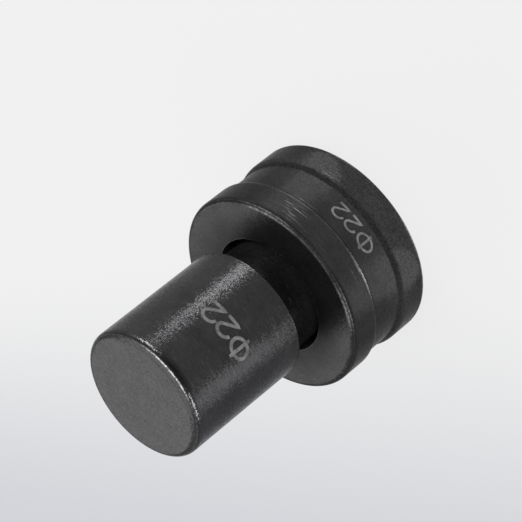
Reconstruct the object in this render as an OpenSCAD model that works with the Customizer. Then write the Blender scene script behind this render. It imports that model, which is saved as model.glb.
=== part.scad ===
// Knockout punch and die: a turned punch that stands with its nose in the bore of a grooved die ring.
// Units are millimetres. The turning axis is Z, the die's back face lies on Z = 0, the punch's tail is up.

/* [Cut] */
// Diameter of the hole that the pair cuts, which is the punch's cutting land
hole_d = 22; // [16:0.5:30]
// Play on the diameter between the cutting land and the die's bore
die_clearance = 0.3; // [0.1:0.05:0.8]
// Length of neck left showing between the punch's shoulder and the die's face
standoff = 6.2; // [4:0.1:12]

/* [Punch] */
// How far the tail stands out past the cutting land, on the radius
shoulder_w = 1.25; // [0.8:0.05:3]
// Length of the tail, from its shoulder to its end
tail_l = 25.5; // [15:0.1:40]
// Round on the tail's end edge
tail_round = 1.4; // [0.3:0.05:2]
// Round on the tail's shoulder edge
shoulder_round = 0.2; // [0.1:0.05:0.6]
// How far the neck is turned down below the cutting land, on the radius
neck_relief = 1; // [0.5:0.05:2]
// Fillet where the neck meets the shoulder
neck_fillet = 0.8; // [0.3:0.05:1.2]
// Length of the cutting land at the punch's nose
land_l = 14; // [8:0.5:15]

/* [Die] */
// Wall between the bore and the outside of the die
die_wall = 7.7; // [6:0.05:12]
// Height of the die, from its back to its face
die_h = 18.5; // [17:0.1:30]
// Round on the face's outer edge
face_round = 1; // [0.3:0.05:2]
// Length of the collar next to the face
collar_l = 6.4; // [4:0.1:8]
// Round where the collar drops into the groove
collar_round = 1; // [0.3:0.05:2]
// Width of the groove between the collar and the flange
groove_w = 5.6; // [3:0.1:7]
// Depth of the groove, on the radius
groove_depth = 0.65; // [0.3:0.05:2]
// Round where the groove rises to the flange
flange_round = 1.9; // [0.3:0.05:2]
// Round on the flange's back edge
back_round = 0.35; // [0.1:0.05:1]
// Length of straight bore behind the face
bore_land_l = 12; // [6:0.5:14]
// How far the bore opens behind its straight part to free the slug, on the radius
slug_relief = 0.65; // [0.3:0.05:1.5]

/* [Hidden] */
$fn = 180;
past = 1;
land_r = hole_d / 2;
neck_r = land_r - neck_relief;
tail_r = land_r + shoulder_w;
bore_r = land_r + die_clearance / 2;
relief_r = bore_r + slug_relief;
die_r = bore_r + die_wall;
floor_r = die_r - groove_depth;
nose_l = die_h + standoff;
total_h = nose_l + tail_l;
collar_z = die_h - collar_l;
flange_h = collar_z - groove_w;
relief_h = die_h - bore_land_l;

// A block of the half section, from one radius to another and from one height to another.
module band(r0, r1, z0, z1) {
    translate([r0, z0]) square([r1 - r0, z1 - z0]);
}

// What a round takes off a top outer corner.
module top_waste(r, z, round) {
    difference() {
        band(r - round, r + past, z - round, z + past);
        translate([r - round, z - round]) circle(round);
    }
}

// What a round takes off a bottom outer corner.
module bottom_waste(r, z, round) {
    difference() {
        band(r - round, r + past, z - past, z + round);
        translate([r - round, z + round]) circle(round);
    }
}

// A block with both of its outer corners rounded.
module rounded_band(r0, r1, z0, z1, round0, round1) {
    difference() {
        band(r0, r1, z0, z1);
        bottom_waste(r1, z0, round0);
        top_waste(r1, z1, round1);
    }
}

module die_section() {
    difference() {
        union() {
            band(bore_r, floor_r, back_round, die_h - face_round);
            rounded_band(bore_r, die_r, collar_z, die_h, collar_round, face_round);
            rounded_band(bore_r, die_r, 0, flange_h, back_round, flange_round);
        }
        polygon([
            [0, -past],
            [relief_r, -past],
            [relief_r, relief_h - slug_relief],
            [bore_r, relief_h],
            [0, relief_h],
        ]);
    }
}

module punch_section() {
    band(0, land_r, 0, land_l);
    polygon([
        [0, land_l],
        [land_r, land_l],
        [neck_r, land_l + neck_relief],
        [0, land_l + neck_relief],
    ]);
    band(0, neck_r, land_l + neck_relief, nose_l);
    difference() {
        band(0, neck_r + neck_fillet, nose_l - neck_fillet, nose_l);
        translate([neck_r + neck_fillet, nose_l - neck_fillet]) circle(neck_fillet);
    }
    rounded_band(0, tail_r, nose_l, total_h, shoulder_round, tail_round);
}

module die() {
    color([0.2, 0.2, 0.21]) rotate_extrude() die_section();
}

module punch() {
    color([0.25, 0.25, 0.26]) rotate_extrude() punch_section();
}

die();
punch();
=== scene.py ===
import math

import bmesh
import bpy
from mathutils import Matrix, Vector


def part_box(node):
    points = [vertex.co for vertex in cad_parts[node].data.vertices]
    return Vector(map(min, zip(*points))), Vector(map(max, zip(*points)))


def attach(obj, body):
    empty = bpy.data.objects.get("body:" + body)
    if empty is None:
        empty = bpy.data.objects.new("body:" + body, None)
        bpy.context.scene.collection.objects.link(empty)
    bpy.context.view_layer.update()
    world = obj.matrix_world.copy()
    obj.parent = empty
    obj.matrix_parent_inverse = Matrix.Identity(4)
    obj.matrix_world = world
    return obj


mm = 0.001
noiseMiddle = 0.5  # a noise varies evenly about this level

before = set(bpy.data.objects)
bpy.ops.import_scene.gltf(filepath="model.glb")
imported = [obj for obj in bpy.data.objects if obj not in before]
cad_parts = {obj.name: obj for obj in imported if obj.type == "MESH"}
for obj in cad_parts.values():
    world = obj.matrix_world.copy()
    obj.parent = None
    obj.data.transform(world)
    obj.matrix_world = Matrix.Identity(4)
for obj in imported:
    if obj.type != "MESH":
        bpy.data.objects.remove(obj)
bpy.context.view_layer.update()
bpy.ops.object.select_all(action="DESELECT")
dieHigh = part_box("die")[1]
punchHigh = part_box("punch")[1]
dieRadius = dieHigh.x
tailRadius = punchHigh.x
print("frame loaded, radii in mm: die", round(dieRadius / mm, 2), "tail", round(tailRadius / mm, 2))


# small helpers for node trees: a number or a socket goes into each input
def feed(tree, socket, value):
    if isinstance(value, bpy.types.NodeSocket):
        tree.links.new(value, socket)
    else:
        socket.default_value = value


def mathNode(tree, operation, *values):
    node = tree.nodes.new("ShaderNodeMath")
    node.operation = operation
    for socket, value in zip(node.inputs, values):
        feed(tree, socket, value)
    return node.outputs[0]


def plus(tree, a, b):
    return mathNode(tree, "ADD", a, b)


def minus(tree, a, b):
    return mathNode(tree, "SUBTRACT", a, b)


def times(tree, a, b):
    return mathNode(tree, "MULTIPLY", a, b)


def larger(tree, a, b):
    return mathNode(tree, "MAXIMUM", a, b)


# length of an arrow that has these parts
def lengthOf(tree, *parts):
    square = 0.0
    for part in parts:
        square = plus(tree, times(tree, part, part), square)
    return mathNode(tree, "SQRT", square)


def vectorNode(tree, operation, *values):
    node = tree.nodes.new("ShaderNodeVectorMath")
    node.operation = operation
    for socket, value in zip(node.inputs, values):
        feed(tree, socket, value)
    return node.outputs[0]


def combineNode(tree, x, y, z):
    node = tree.nodes.new("ShaderNodeCombineXYZ")
    for socket, value in zip(node.inputs, (x, y, z)):
        feed(tree, socket, value)
    return node.outputs[0]


def rangeNode(tree, value, fromLow, fromHigh, toLow, toHigh):
    node = tree.nodes.new("ShaderNodeMapRange")
    node.interpolation_type = "SMOOTHSTEP"
    for socket, v in zip(node.inputs, (value, fromLow, fromHigh, toLow, toHigh)):
        feed(tree, socket, v)
    return node.outputs[0]


def noiseNode(tree, vector, scale, detail, roughness):
    node = tree.nodes.new("ShaderNodeTexNoise")
    for name, v in (("Vector", vector), ("Scale", scale), ("Detail", detail), ("Roughness", roughness)):
        feed(tree, node.inputs[name], v)
    return node.outputs["Fac"]


def mixColour(tree, factor, a, b):
    node = tree.nodes.new("ShaderNodeMix")
    node.data_type = "RGBA"
    feed(tree, node.inputs["Factor"], factor)
    feed(tree, node.inputs["A"], a)
    feed(tree, node.inputs["B"], b)
    return node.outputs["Result"]


def bumpNode(tree, height, strength, distance):
    node = tree.nodes.new("ShaderNodeBump")
    for name, v in (("Height", height), ("Strength", strength), ("Distance", distance)):
        feed(tree, node.inputs[name], v)
    return node.outputs["Normal"]


def newGroup(name, inputs, outputs):
    tree = bpy.data.node_groups.new(name, "ShaderNodeTree")
    for socketName, value in inputs.items():
        socket = tree.interface.new_socket(socketName, in_out="INPUT", socket_type="NodeSocketFloat")
        socket.default_value = value
    for socketName in outputs:
        tree.interface.new_socket(socketName, in_out="OUTPUT", socket_type="NodeSocketFloat")
    return tree, tree.nodes.new("NodeGroupInput"), tree.nodes.new("NodeGroupOutput")


def useGroup(tree, group, **values):
    node = tree.nodes.new("ShaderNodeGroup")
    node.node_tree = group
    for name, v in values.items():
        feed(tree, node.inputs[name], v)
    return node


def newMaterial(name):
    material = bpy.data.materials.new(name)
    material.use_nodes = True
    tree = material.node_tree
    return material, tree, tree.nodes["Principled BSDF"]


# a colour made lighter or darker, as the four numbers that a socket takes
def toned(colour, share):
    return tuple(c * share for c in colour[:3]) + (1.0,)


# where a point lies on a turned piece, from the object's own coordinates
def turnedPlace(tree):
    coords = tree.nodes.new("ShaderNodeTexCoord").outputs["Object"]
    split = tree.nodes.new("ShaderNodeSeparateXYZ")
    tree.links.new(coords, split.inputs[0])
    x, y, z = split.outputs
    return {"coords": coords, "x": x, "y": y, "z": z, "radius": lengthOf(tree, x, y)}


# soft mask round one turned edge, given by its radius and height
def buildEdgeRing():
    tree, given, result = newGroup("edgeRing", {"Radius": 0.01, "Height": 0.0, "Reach": 0.0005}, ["Mask"])
    place = turnedPlace(tree)
    away = minus(tree, place["radius"], given.outputs["Radius"])
    along = minus(tree, place["z"], given.outputs["Height"])
    mask = rangeNode(tree, lengthOf(tree, away, along), 0.0, given.outputs["Reach"], 1.0, 0.0)
    tree.links.new(mask, result.inputs["Mask"])
    return tree


# soft ball round one point that something has rubbed
def buildRubSpot():
    tree, given, result = newGroup("rubSpot", {"X": 0.0, "Y": 0.0, "Z": 0.0, "Reach": 0.003}, ["Mask"])
    place = turnedPlace(tree)
    away = [minus(tree, place[name], given.outputs[name.upper()]) for name in ("x", "y", "z")]
    mask = rangeNode(tree, lengthOf(tree, *away), 0.0, given.outputs["Reach"], 1.0, 0.0)
    tree.links.new(mask, result.inputs["Mask"])
    return tree


paintedShoulderShadeShape = {
    "slimmerBy": 0.6 * mm,  # how much slimmer than the shoulder the steel has to be
    "edge": 0.1 * mm,  # how softly it starts at the shoulder
    "fadesFrom": 0.5,  # share of the reach that is fully shaded
}


# painted shade below a shoulder, on everything slimmer than it: the steel there is darkened where the
# shoulder shades it
def buildPaintedShoulderShade():
    tree, given, result = newGroup("paintedShoulderShade", {"Radius": 0.01, "Height": 0.02, "Reach": 0.004}, ["Mask"])
    place = turnedPlace(tree)
    reach = given.outputs["Reach"]
    past = minus(tree, place["radius"], given.outputs["Radius"])
    slim = rangeNode(tree, past, -paintedShoulderShadeShape["slimmerBy"], 0.0, 1.0, 0.0)
    below = minus(tree, given.outputs["Height"], place["z"])
    starts = rangeNode(tree, below, -paintedShoulderShadeShape["edge"], 0.0, 0.0, 1.0)
    ends = rangeNode(tree, below, times(tree, reach, paintedShoulderShadeShape["fadesFrom"]), reach, 1.0, 0.0)
    tree.links.new(times(tree, slim, times(tree, starts, ends)), result.inputs["Mask"])
    return tree


# noises as (scale, detail, roughness); grain and mottle take their scale from the group's inputs
skinTexture = {
    "grain": (2.0, 0.6),
    "mottle": (5.0, 0.62),
    "lines": (1.6, 3.0, 0.6),
    "rubs": (1.0, 4.0, 0.7),
    "rubsAbout": 5.0,  # how fast the rubs vary about the axis
    "rubsFrom": 0.54,
    "rubsTo": 0.7,
    "nearAxis": 0.2 * mm,
}


# what turning, blacking and handling leave on the steel
def buildTurnedSkin():
    tree, given, result = newGroup(
        "turnedSkin",
        {"GrainScale": 2800.0, "LineScale": 5200.0, "MottleScale": 260.0, "ScuffScale": 3600.0},
        ["Grain", "Lines", "Mottle", "Scuff"],
    )
    place = turnedPlace(tree)
    grain = noiseNode(tree, place["coords"], given.outputs["GrainScale"], *skinTexture["grain"])
    mottle = noiseNode(tree, place["coords"], given.outputs["MottleScale"], *skinTexture["mottle"])
    # tool lines run round the axis, so they vary fast along it and slowly about it
    safeRadius = larger(tree, place["radius"], skinTexture["nearAxis"])
    aboutX = mathNode(tree, "DIVIDE", place["x"], safeRadius)
    aboutY = mathNode(tree, "DIVIDE", place["y"], safeRadius)
    along = plus(tree, place["z"], place["radius"])
    linePlace = combineNode(tree, aboutX, aboutY, times(tree, along, given.outputs["LineScale"]))
    lines = noiseNode(tree, linePlace, *skinTexture["lines"])
    # short rubs, longer round the part than along it
    rubPlace = combineNode(
        tree,
        times(tree, aboutX, skinTexture["rubsAbout"]),
        times(tree, aboutY, skinTexture["rubsAbout"]),
        times(tree, along, given.outputs["ScuffScale"]),
    )
    rubs = noiseNode(tree, rubPlace, *skinTexture["rubs"])
    scuff = rangeNode(tree, rubs, skinTexture["rubsFrom"], skinTexture["rubsTo"], 0.0, 1.0)
    for name, value in (("Grain", grain), ("Lines", lines), ("Mottle", mottle), ("Scuff", scuff)):
        tree.links.new(value, result.inputs[name])
    return tree


# blasting leaves the steel in tiny facets, each leaning its own way, which glint in a narrow light
def buildFacets():
    leans = ("LeanX", "LeanY", "LeanZ")
    tree, given, result = newGroup("facets", {"FacetScale": 5000.0, "Lean": 0.1}, leans)
    cells = tree.nodes.new("ShaderNodeTexVoronoi")
    feed(tree, cells.inputs["Vector"], turnedPlace(tree)["coords"])
    feed(tree, cells.inputs["Scale"], given.outputs["FacetScale"])
    split = tree.nodes.new("ShaderNodeSeparateXYZ")
    tree.links.new(cells.outputs["Color"], split.inputs[0])
    for chance, name in zip(split.outputs, leans):
        lean = times(tree, minus(tree, chance, noiseMiddle), given.outputs["Lean"])
        tree.links.new(lean, result.inputs[name])
    return tree


edgeRing = buildEdgeRing()
rubSpot = buildRubSpot()
paintedShoulderShade = buildPaintedShoulderShade()
turnedSkin = buildTurnedSkin()
facets = buildFacets()

# the blacked steel of both pieces; pairs of numbers are the noise levels between which an effect grows
blackSteel = {
    "dark": (0.027, 0.027, 0.028, 1.0),
    "light": (0.046, 0.046, 0.048, 1.0),
    "bare": (0.55, 0.55, 0.555, 1.0),
    "metallic": 0.65,
    "mottleShare": 0.55,
    "grainShare": 0.45,
    "mottleSpan": (0.3, 0.7),
    "mottleRoughness": 0.08,
    "paintedShadeTone": 0.22,
    "paintedShoulderShadeRoughness": 0.3,
    "evenWear": 0.12,
    "wornSpan": (0.38, 0.62),
    "wornLeast": 0.25,
    "handledAndPaintedLightSpan": (0.3, 0.7),
    "rubbed": 0.05,
    "rubbedSpot": 0.6,
    "grainHeight": 0.7,
    "lineHeight": 0.3,
    "bumpStrength": 0.8,
    "bumpDepth": 0.05 * mm,
    "facetScale": 5000.0,
}


def ringMask(tree, radius, height, reach):
    return useGroup(tree, edgeRing, Radius=radius * mm, Height=height * mm, Reach=reach * mm).outputs["Mask"]


def spotMask(tree, places):
    spots = 0.0
    for degrees, radius, height, reach in places:
        angle = math.radians(degrees)
        x = radius * mm * math.sin(angle)
        y = -radius * mm * math.cos(angle)
        spot = useGroup(tree, rubSpot, X=x, Y=y, Z=height * mm, Reach=reach * mm)
        spots = larger(tree, spots, spot.outputs["Mask"])
    return spots


# how far the blacking is gone: edges worn a little all along and more at the spots, scuffs, handled bands,
# and a band of painted light that makes the die lighter towards its foot
def bareShare(tree, skin, place, look):
    grain = skin.outputs["Grain"]
    edge = 0.0
    for radius, height, reach in look["edges"]:
        edge = larger(tree, edge, ringMask(tree, radius, height, reach))
    broken = rangeNode(tree, grain, *blackSteel["wornSpan"], blackSteel["wornLeast"], 1.0)
    share = rangeNode(tree, spotMask(tree, look["spots"]), 0.0, 1.0, blackSteel["evenWear"], 1.0)
    wear = times(tree, edge, times(tree, broken, share))
    scuffed = spotMask(tree, look["scuffed"])
    rubbed = rangeNode(tree, scuffed, 0.0, 1.0, blackSteel["rubbed"], blackSteel["rubbedSpot"])
    bare = larger(tree, wear, times(tree, skin.outputs["Scuff"], rubbed))
    for bareFrom, bareTo, least, most in look["handledAndPaintedLight"]:
        handledAndPaintedLight = rangeNode(tree, place["z"], bareFrom * mm, bareTo * mm, 0.0, 1.0)
        thin = rangeNode(tree, grain, *blackSteel["handledAndPaintedLightSpan"], least, most)
        bare = larger(tree, bare, times(tree, handledAndPaintedLight, thin))
    return bare


def blackSteelMaterial(name, look):
    material, tree, shader = newMaterial(name)
    skin = useGroup(tree, turnedSkin)
    grain, mottle = skin.outputs["Grain"], skin.outputs["Mottle"]
    place = turnedPlace(tree)
    bare = bareShare(tree, skin, place, look)
    dark = toned(blackSteel["dark"], look["tone"])
    light = toned(blackSteel["light"], look["tone"])
    # the colour of painted shade: the dark blacking made darker still
    paintedShadeColour = toned(blackSteel["dark"], look["tone"] * blackSteel["paintedShadeTone"])
    mottled = plus(
        tree, times(tree, mottle, blackSteel["mottleShare"]), times(tree, grain, blackSteel["grainShare"])
    )
    colour = mixColour(tree, rangeNode(tree, mottled, *blackSteel["mottleSpan"], 0.0, 1.0), dark, light)
    rough = times(tree, minus(tree, mottle, noiseMiddle), blackSteel["mottleRoughness"])
    rough = plus(tree, rough, look["roughness"])
    # painted shade: a band round an edge, only on the side facing the front, darkened to stand in for the
    # dark that the round reflects there
    for degrees, radius, height, breadth, reach in look["paintedDarkBand"]:
        spot = spotMask(tree, [(degrees, radius, height, reach)])
        paintedDarkBand = times(tree, ringMask(tree, radius, height, breadth), spot)
        colour = mixColour(tree, paintedDarkBand, colour, paintedShadeColour)
    if look["bore"]:
        bore = look["bore"]
        # painted shade: the face is darkened towards the bore, where the punch shades it, and made rougher
        # there
        near = ringMask(tree, bore["radius"], bore["height"], bore["breadth"])
        paintedBoreShade = times(tree, near, bore["paintedBoreShade"])
        colour = mixColour(tree, paintedBoreShade, colour, paintedShadeColour)
        rough = plus(tree, rough, times(tree, near, bore["rougher"]))
        bare = times(tree, bare, minus(tree, 1.0, paintedBoreShade))
        wallFrom, wallTo = ((bore["radius"] + past) * mm for past in bore["wallSpan"])
        wall = rangeNode(tree, place["radius"], wallFrom, wallTo, bore["ground"], 0.0)
        bare = larger(tree, bare, wall)
    # painted shade: the steel below the shoulder is darkened where the shoulder shades it, and made rougher
    if look["paintedShoulderShade"]:
        radius, height, reach = look["paintedShoulderShade"]
        shadeUnderShoulder = useGroup(tree, paintedShoulderShade, Radius=radius * mm, Height=height * mm, Reach=reach * mm)
        under = shadeUnderShoulder.outputs["Mask"]
        colour = mixColour(tree, under, colour, paintedShadeColour)
        rough = plus(tree, rough, times(tree, under, blackSteel["paintedShoulderShadeRoughness"]))
    tree.links.new(mixColour(tree, bare, colour, blackSteel["bare"]), shader.inputs["Base Color"])
    shader.inputs["Metallic"].default_value = blackSteel["metallic"]
    shader.inputs["Specular Tint"].default_value = look["grazing"]
    tree.links.new(rough, shader.inputs["Roughness"])
    height = plus(
        tree,
        times(tree, grain, blackSteel["grainHeight"]),
        times(tree, skin.outputs["Lines"], blackSteel["lineHeight"]),
    )
    bumped = bumpNode(tree, height, blackSteel["bumpStrength"], blackSteel["bumpDepth"])
    leaning = useGroup(tree, facets, FacetScale=blackSteel["facetScale"], Lean=look["facetLean"])
    faceted = vectorNode(tree, "ADD", bumped, combineNode(tree, *leaning.outputs))
    tree.links.new(vectorNode(tree, "NORMALIZE", faceted), shader.inputs["Normal"])
    return material


# in millimetres, with angles in degrees from the front:
# edges and the painted shade under the shoulder as (radius, height, reach), spots and scuffed as (angle,
# radius, height, reach),
# a painted dark band as (angle, radius, height, breadth, reach),
# handled bands and a band of painted light as (height where they start, height where they are full, least
# bare, most bare)
tailLength = 25.5
punchTop = punchHigh.z / mm
dieTop = dieHigh.z / mm
tailRim = tailRadius / mm
dieRim = dieRadius / mm
shoulder = punchTop - tailLength
collarEdge = 12.7
backEdge = 0.2
punchLook = {
    "tone": 0.69,
    "grazing": (0.45, 0.45, 0.45, 1.0),
    "roughness": 0.19,
    "facetLean": 0.17,
    "edges": [(tailRim - 0.33, punchTop - 0.47, 0.22), (tailRim, shoulder, 0.3)],
    "spots": [(2, tailRim, punchTop, 9.5), (27, tailRim, shoulder, 2.5), (-30, tailRim, shoulder, 2.5)],
    "scuffed": [],
    "handledAndPaintedLight": [(punchTop - 0.5, punchTop - 0.25, 0.013, 0.039)],
    # painted shade: the front of the round at the tail's end is painted darker
    "paintedDarkBand": [(0, tailRim, punchTop - 1.25, 1.1, 7.0)],
    # painted shade under the shoulder, over the whole neck
    "paintedShoulderShade": (tailRim, shoulder, 6.0),
    "bore": None,
}
dieLook = {
    "tone": 1.22,
    "grazing": (0.15, 0.15, 0.15, 1.0),
    "roughness": 0.26,
    "facetLean": 0.1,
    "edges": [
        (dieRim - 0.62, dieTop - 0.09, 0.34), (dieRim - 0.23, dieTop - 0.36, 0.22),
        (dieRim, collarEdge, 0.55), (dieRim, backEdge, 0.4),
    ],
    "spots": [
        (-20, dieRim, collarEdge - 0.1, 6.5),
        (36, dieRim - 0.6, dieTop, 8.0), (-32, dieRim - 0.6, dieTop, 7.0),
        (-50, dieRim, backEdge, 8.0), (-24, dieRim, backEdge, 8.0), (33, dieRim, backEdge, 5.0),
    ],
    "scuffed": [(28, dieRim, 14.6, 4.6), (29, dieRim, 5.0, 3.2), (-19, dieRim, 13.2, 3.0)],
    # the first band is painted light: the steel grows barer, so lighter, from the collar down to the foot;
    # the second thins the blacking at the face
    "handledAndPaintedLight": [(13.0, 4.0, 0.0, 0.056), (dieTop - 0.3, dieTop - 0.1, 0.007, 0.021)],
    "paintedDarkBand": [],
    "paintedShoulderShade": None,
    # the face is painted darker towards the bore, a painted shade where the punch shades it, and is rougher
    # there; the bore's wall is ground
    "bore": {
        "radius": 11.15, "height": dieTop, "breadth": 6.5,
        "paintedBoreShade": 0.32, "rougher": 0.14, "ground": 0.5, "wallSpan": (0.01, 0.03),
    },
}


def dress(node, material):
    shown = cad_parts[node]
    shown.data.materials.clear()
    shown.data.materials.append(material)


dress("punch", blackSteelMaterial("punchBlackSteel", punchLook))
dress("die", blackSteelMaterial("dieBlackSteel", dieLook))
print("steel dressed")

etchedLine = {
    "light": (0.46, 0.46, 0.465, 1.0),
    "dim": (0.24, 0.24, 0.243, 1.0),
    "patchScale": 900.0,
    "patchSpan": (0.35, 0.65),
    "metallic": 0.6,
    "roughness": 0.55,
    "grainRoughness": 0.3,
    "bumpStrength": 0.4,
    "bumpDepth": 0.02 * mm,
}
# the plain size mark, a diameter sign and two digits, is etched round each piece, upright from the front
grooveDepth = 0.65 * mm
sizeMarks = {
    "punchSizeMark": {
        "body": "punch", "slot": "punch_steel", "radius": tailRadius, "base": 34.7 * mm,
        "digitStarts": (-1.05 * mm, 2.3 * mm), "digitWidth": 2.7 * mm, "digitHeight": 3.65 * mm,
        "signMiddle": -3.68 * mm, "signWidth": 3.6 * mm, "signHeight": 3.1 * mm, "barHeight": 4.2 * mm,
        "stroke": 0.66 * mm,
    },
    "dieSizeMark": {
        "body": "die", "slot": "die_steel", "radius": dieRadius - grooveDepth, "base": 7.2 * mm,
        "digitStarts": (-0.45 * mm, 2.55 * mm), "digitWidth": 2.3 * mm, "digitHeight": 2.75 * mm,
        "signMiddle": -2.95 * mm, "signWidth": 3.4 * mm, "signHeight": 2.45 * mm, "barHeight": 3.1 * mm,
        "stroke": 0.46 * mm,
    },
}
strokeLook = {
    "depth": 0.03 * mm,  # how far a stroke stands out of the steel
    "cuts": 5,
    "rounding": 2,
    "ovalPoints": 48,
    "seed": 0.1 * mm,  # a triangle that is merged to the one point where a bar starts
    "serif": 0.15,  # a bar's end tick, as a share of the sign's width
}
# a two's bowl and slant, as shares of the digit's height, its width or the bowl's half height
twoShape = {
    "bowl": 0.3,
    "openBelow": -0.55,
    "leftOf": 0.2,
    "leftBelow": -0.05,
    "slantAcross": 0.92,
    "slantDown": 1.55,
}


def etchedLineMaterial():
    material, tree, shader = newMaterial("etchedLine")
    skin = useGroup(tree, turnedSkin, MottleScale=etchedLine["patchScale"])
    grain = skin.outputs["Grain"]
    patch = rangeNode(tree, skin.outputs["Mottle"], *etchedLine["patchSpan"], 0.0, 1.0)
    colour = mixColour(tree, patch, etchedLine["dim"], etchedLine["light"])
    tree.links.new(colour, shader.inputs["Base Color"])
    shader.inputs["Metallic"].default_value = etchedLine["metallic"]
    rough = times(tree, minus(tree, grain, noiseMiddle), etchedLine["grainRoughness"])
    tree.links.new(plus(tree, rough, etchedLine["roughness"]), shader.inputs["Roughness"])
    bumped = bumpNode(tree, grain, etchedLine["bumpStrength"], etchedLine["bumpDepth"])
    tree.links.new(bumped, shader.inputs["Normal"])
    return material


# selects only the vertex nearest to a point of the flat drawing
def pickVertex(drawn, point):
    mesh = bmesh.from_edit_mesh(drawn.data)
    bpy.ops.mesh.select_all(action="DESELECT")
    nearest = min(mesh.verts, key=lambda v: (v.co.xy - Vector(point)).length)
    nearest.select_set(True)
    mesh.select_flush_mode()
    return nearest.co.copy()


def lineTo(drawn, start, end):
    here = pickVertex(drawn, start)
    step = Vector((end[0] - here.x, end[1] - here.y, 0))
    bpy.ops.mesh.extrude_region_move(TRANSFORM_OT_translate={"value": step})


# an oval, flat on the drawing plane, with its object at the origin
def drawOval(middle, width, height):
    bpy.ops.mesh.primitive_circle_add(vertices=strokeLook["ovalPoints"], radius=0.5)
    drawn = bpy.context.object
    bpy.ops.object.mode_set(mode="EDIT")
    bpy.ops.transform.resize(value=(width, height, 1))
    bpy.ops.transform.translate(value=(middle[0], middle[1], 0))
    return drawn


# a two: the upper part of an oval, a slant down to the base line and the base
def drawTwo(start, base, width, height):
    bowl = height * twoShape["bowl"]
    middle = (start + width / 2, base + height - bowl)
    drawn = drawOval(middle, width, 2 * bowl)
    mesh = bmesh.from_edit_mesh(drawn.data)
    bpy.ops.mesh.select_all(action="DESELECT")
    for v in mesh.verts:
        side = (v.co.x - middle[0]) / width
        low = (v.co.y - middle[1]) / bowl
        lowerLeft = side < twoShape["leftOf"] and low < twoShape["leftBelow"]
        if low < twoShape["openBelow"] or lowerLeft:
            v.select_set(True)
    mesh.select_flush_mode()
    bpy.ops.mesh.delete(type="VERT")
    slantTop = (start + width * twoShape["slantAcross"], base + height - twoShape["slantDown"] * bowl)
    lineTo(drawn, slantTop, (start, base))
    lineTo(drawn, (start, base), (start + width, base))
    bpy.ops.object.mode_set(mode="OBJECT")
    return drawn


# the diameter sign: an oval with an upright bar through it and a tick at each end of the bar
def drawSign(mark):
    middle = (mark["signMiddle"], mark["base"] + mark["barHeight"] / 2)
    drawn = drawOval(middle, mark["signWidth"], mark["signHeight"])
    bpy.ops.object.mode_set(mode="OBJECT")
    # the bar starts as one point, at its foot
    bpy.ops.mesh.primitive_circle_add(vertices=3, radius=strokeLook["seed"])
    bar = bpy.context.object
    bpy.ops.object.mode_set(mode="EDIT")
    bpy.ops.mesh.merge(type="CENTER")
    bpy.ops.transform.translate(value=(middle[0], mark["base"], 0))
    foot, head = (middle[0], mark["base"]), (middle[0], mark["base"] + mark["barHeight"])
    tick = strokeLook["serif"] * mark["signWidth"] / 2
    lineTo(bar, foot, head)
    for end in (foot, head):
        for side in (-tick, tick):
            lineTo(bar, end, (end[0] + side, end[1]))
    bpy.ops.object.mode_set(mode="OBJECT")
    return [drawn, bar]


def wrapMark(name, mark, material):
    strokes = drawSign(mark)
    for start in mark["digitStarts"]:
        strokes.append(drawTwo(start, mark["base"], mark["digitWidth"], mark["digitHeight"]))
    bpy.ops.object.select_all(action="DESELECT")
    for stroke in strokes:
        stroke.select_set(True)
    bpy.context.view_layer.objects.active = strokes[0]
    bpy.ops.object.join()
    drawn = bpy.context.object
    drawn.name = name
    bpy.ops.object.mode_set(mode="EDIT")
    bpy.ops.mesh.select_all(action="SELECT")
    bpy.ops.mesh.subdivide(number_cuts=strokeLook["cuts"])
    bpy.ops.object.mode_set(mode="OBJECT")
    bpy.ops.object.convert(target="CURVE")
    drawn.data.bevel_depth = mark["stroke"] / 2
    drawn.data.bevel_resolution = strokeLook["rounding"]
    drawn.data.use_fill_caps = True
    bpy.ops.object.convert(target="MESH")
    # the flat drawing is rolled round the steel and pressed thin
    for v in drawn.data.vertices:
        angle = v.co.x / mark["radius"]
        out = mark["radius"] + v.co.z * strokeLook["depth"] / (mark["stroke"] / 2)
        v.co = (out * math.sin(angle), -out * math.cos(angle), v.co.y)
    bpy.ops.object.mode_set(mode="EDIT")
    bpy.ops.mesh.select_all(action="SELECT")
    bpy.ops.mesh.normals_make_consistent(inside=False)
    bpy.ops.object.mode_set(mode="OBJECT")
    bpy.ops.object.shade_smooth()
    drawn.data.materials.clear()
    drawn.data.materials.append(material)
    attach(drawn, mark["body"])
    bpy.ops.object.select_all(action="DESELECT")


etched = etchedLineMaterial()
for markName, mark in sizeMarks.items():
    wrapMark(markName, mark, etched)
print("size marks etched")

# pale floor that falls off a little towards one side, as a graduated backdrop does
floorLook = {
    "width": 6.0,
    "pale": (0.913, 0.913, 0.913),
    "deeper": (0.667, 0.677, 0.715),
    "lampShare": 0.16,
    "ownShare": 0.86,
    "fallsTowards": (-0.912, 0.410),
    "from": 0.6 * mm,
    "to": 81.6 * mm,
    "roughness": 0.9,
}


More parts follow.
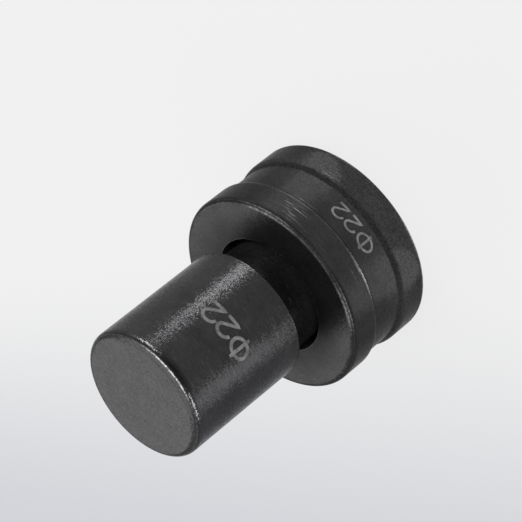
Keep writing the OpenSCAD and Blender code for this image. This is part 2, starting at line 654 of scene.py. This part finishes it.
def layFloor():
    bpy.ops.mesh.primitive_plane_add(size=floorLook["width"], location=(0, 0, 0))
    floor = bpy.context.object
    floor.name = "floor"
    material, tree, shader = newMaterial("paleFloor")
    place = turnedPlace(tree)
    towardsX, towardsY = floorLook["fallsTowards"]
    along = plus(tree, times(tree, place["x"], towardsX), times(tree, place["y"], towardsY))
    fall = rangeNode(tree, along, floorLook["from"], floorLook["to"], 0.0, 1.0)
    for socket, share in (("Base Color", floorLook["lampShare"]), ("Emission Color", floorLook["ownShare"])):
        pale, deeper = toned(floorLook["pale"], share), toned(floorLook["deeper"], share)
        tree.links.new(mixColour(tree, fall, pale, deeper), shader.inputs[socket])
    shader.inputs["Roughness"].default_value = floorLook["roughness"]
    shader.inputs["Specular IOR Level"].default_value = 0.0
    # the eye and the steel see the floor paler than the lamps alone make it, and its shadow stays
    ray = tree.nodes.new("ShaderNodeLightPath").outputs
    seen = larger(tree, larger(tree, ray["Is Camera Ray"], ray["Is Glossy Ray"]), ray["Is Transmission Ray"])
    tree.links.new(seen, shader.inputs["Emission Strength"])
    floor.data.materials.append(material)


layFloor()
print("floor laid")

# the photograph is taken from above the tail, with the frame rolled so that the tail points down to the left
viewpoint = {
    "elevation": 33.08,
    "roll": -128.32,
    "lens": 181.8,
    "sensor": 36,
    "tailRight": -19.54 * mm,
    "tailUp": -22.26 * mm,
    "tailAway": 429.6 * mm,
    "nearest": 10 * mm,
}


def placeCamera():
    tilt = Matrix.Rotation(math.radians(90 - viewpoint["elevation"]), 4, "X")
    turn = tilt @ Matrix.Rotation(math.radians(viewpoint["roll"]), 4, "Z")
    tailEnd = Vector((0, 0, punchHigh.z))
    reach = Vector((viewpoint["tailRight"], viewpoint["tailUp"], -viewpoint["tailAway"]))
    bpy.ops.object.camera_add()
    camera = bpy.context.object
    camera.matrix_world = Matrix.Translation(tailEnd - turn @ reach) @ turn
    camera.data.lens = viewpoint["lens"]
    camera.data.sensor_width = viewpoint["sensor"]
    camera.data.clip_start = viewpoint["nearest"]
    bpy.context.scene.camera = camera


placeCamera()
print("camera placed")

# large lamps, in metres; the canopy lights the punch alone
softBoxes = {
    "backBox": {
        "place": (0.07, 0.62, 0.42), "aim": (0, 0, 0.03), "width": 0.55, "height": 0.42, "watts": 1.3,
    },
    "topBox": {
        "place": (0.1, -0.1, 0.9), "aim": (0, 0, 0), "width": 0.5, "height": 0.5, "watts": 0.8,
    },
    "canopy": {
        "place": (0.18, -0.07, 0.65), "aim": (0.18, -0.07, 0.0), "width": 1.25, "height": 1.1, "watts": 8.0,
        "lights": "punch",
    },
}
# small cards beside the punch, which draw its long highlights and light nothing else
punchCards = {
    "tailLeftCard": {
        "angle": 52, "away": 46 * mm, "middle": 11 * mm,
        "width": 4 * mm, "height": 28 * mm, "watts": 0.0063,
    },
    "shoulderCard": {
        "angle": 52, "away": 46 * mm, "middle": 2.5 * mm,
        "width": 15 * mm, "height": 5 * mm, "watts": 0.0036,
    },
    "rimLeftCard": {
        "angle": 50, "away": 46 * mm, "middle": 43 * mm,
        "width": 24 * mm, "height": 7 * mm, "watts": 0.016,
    },
    "tailRightCard": {
        "angle": -56, "away": 50 * mm, "middle": 14 * mm,
        "width": 24 * mm, "height": 34 * mm, "watts": 0.0062,
    },
    "rimRightCard": {
        "angle": -52, "away": 46 * mm, "middle": 55 * mm,
        "width": 25 * mm, "height": 7 * mm, "watts": 0.0175,
    },
}
# cards that lie on the floor in front of the die, each where the steel facing that way mirrors it
dieCards = {
    "dieLeftCard": {"facing": 35, "from": 1.0 * mm, "to": 34 * mm, "width": 17 * mm, "watts": 0.0011},
    "dieRightCard": {"facing": -32, "from": 1.0 * mm, "to": 34 * mm, "width": 18 * mm, "watts": 0.0010},
}
cardLift = 0.5 * mm  # how far a card on the floor lies above it


# a lamp that is given a piece lights it alone, and isn't seen itself
def softBox(name, place, aim, width, height, watts, lights=None):
    bpy.ops.object.light_add(type="AREA", location=place)
    lamp = bpy.context.object
    lamp.name = name
    lamp.data.shape = "RECTANGLE"
    lamp.data.size = width
    lamp.data.size_y = height
    lamp.data.energy = watts
    lamp.rotation_euler = (Vector(aim) - Vector(place)).to_track_quat("-Z", "Y").to_euler()
    if lights:
        lit = bpy.data.collections.new(name + "Lit")
        lit.objects.link(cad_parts[lights])
        lamp.light_linking.receiver_collection = lit
        lamp.visible_camera = False
    return lamp


# a level arrow that points this many degrees from the front
def heading(degrees):
    angle = math.radians(degrees)
    return Vector((math.sin(angle), -math.cos(angle), 0))


def standPunchCards():
    for name, card in punchCards.items():
        middle = Vector((0, 0, card["middle"]))
        place = heading(card["angle"]) * card["away"] + middle
        softBox(name, place, middle, card["width"], card["height"], card["watts"], "punch")


def layDieCards():
    for name, card in dieCards.items():
        start = heading(card["facing"]) * dieRadius
        along = heading(2 * card["facing"]) * (card["from"] + card["to"]) / 2
        place = start + along + Vector((0, 0, cardLift))
        lamp = softBox(name, place, (0, 0, 0), card["width"], card["to"] - card["from"], card["watts"], "die")
        lamp.data.shape = "ELLIPSE"
        lamp.rotation_euler = (math.pi, 0, math.radians(2 * card["facing"]))  # it faces up


for boxName, box in softBoxes.items():
    softBox(boxName, **box)
standPunchCards()
layDieCards()

worldLight = 0.42
world = bpy.data.worlds.new("studio")
bpy.context.scene.world = world
world.use_nodes = True
world.node_tree.nodes["Background"].inputs["Color"].default_value = (1, 1, 1, 1)
world.node_tree.nodes["Background"].inputs["Strength"].default_value = worldLight
bpy.context.scene.view_settings.view_transform = "Standard"
print("lamps set")
